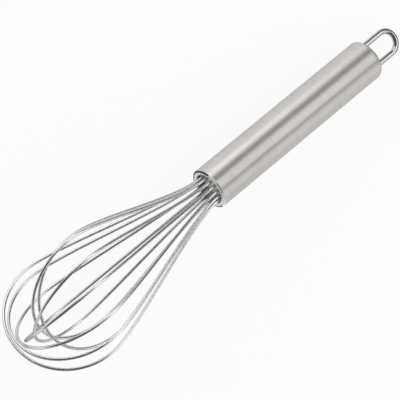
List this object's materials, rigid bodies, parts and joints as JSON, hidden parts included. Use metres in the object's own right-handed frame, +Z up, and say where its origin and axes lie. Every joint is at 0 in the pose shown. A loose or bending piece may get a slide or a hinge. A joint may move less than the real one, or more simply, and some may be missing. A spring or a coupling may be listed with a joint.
{
  "type": "balloon whisk",
  "caption": "Stainless balloon whisk with a brushed tube handle, a wire hanging loop and a balloon of nested polished wire loops.",
  "frame": {"origin": "on the table, under the middle of the whisk's box", "axes": "+X along the length towards the tip of the wires, +Z up from the table the whisk lies on; the hanging loop lies level"},
  "size_m": [0.266, 0.0588, 0.0594],
  "materials": {
    "brushed_handle": "satin, brushed round the tube",
    "polished_wire": "bright polished stainless wire",
    "plain_steel": "turned, unpolished",
    "cast_resin": "cast"
  },
  "bodies": {
    "root": {"handle_tube": "brushed_handle", "end_cap": "brushed_handle", "hanging_loop": "polished_wire", "wire_plug": "plain_steel", "wire_sealant": "cast_resin", "wire_loop_1": "polished_wire", "wire_loop_2": "polished_wire", "wire_loop_3": "polished_wire", "wire_loop_4": "polished_wire", "wire_loop_5": "polished_wire", "wire_loop_6": "polished_wire", "wire_loop_7": "polished_wire"}
  },
  "joints": []
}
